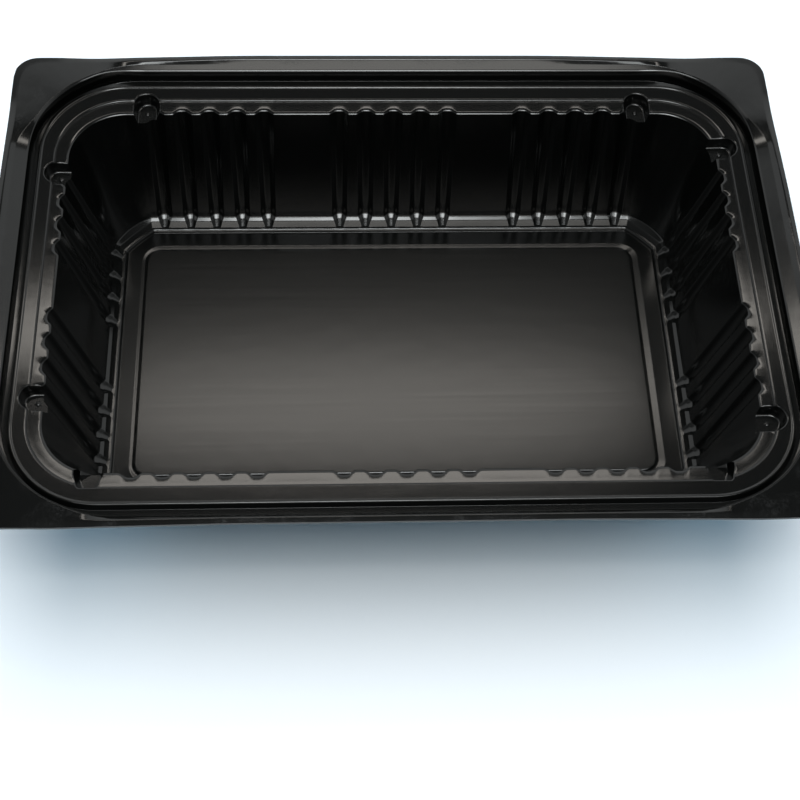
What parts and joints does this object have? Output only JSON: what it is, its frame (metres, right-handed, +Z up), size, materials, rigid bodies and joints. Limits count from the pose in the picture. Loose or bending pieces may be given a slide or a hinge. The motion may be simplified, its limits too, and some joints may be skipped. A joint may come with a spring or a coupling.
{
  "type": "takeaway food tray",
  "caption": "Empty rectangular food tray formed from black plastic sheet, with fluted walls, a groove for a lid, a flange with flat corner tabs and pockets that keep stacked trays apart.",
  "frame": {"origin": "on the table, under the middle of the base", "axes": "+X along the long sides, +Y across to the side with the two closer round pockets, +Z up"},
  "size_m": [0.228, 0.159, 0.0478],
  "materials": {
    "tray": "satin black polypropylene, smooth on the ledges and shinier on the walls"
  },
  "bodies": {
    "root": {"tray": "tray"}
  },
  "joints": []
}
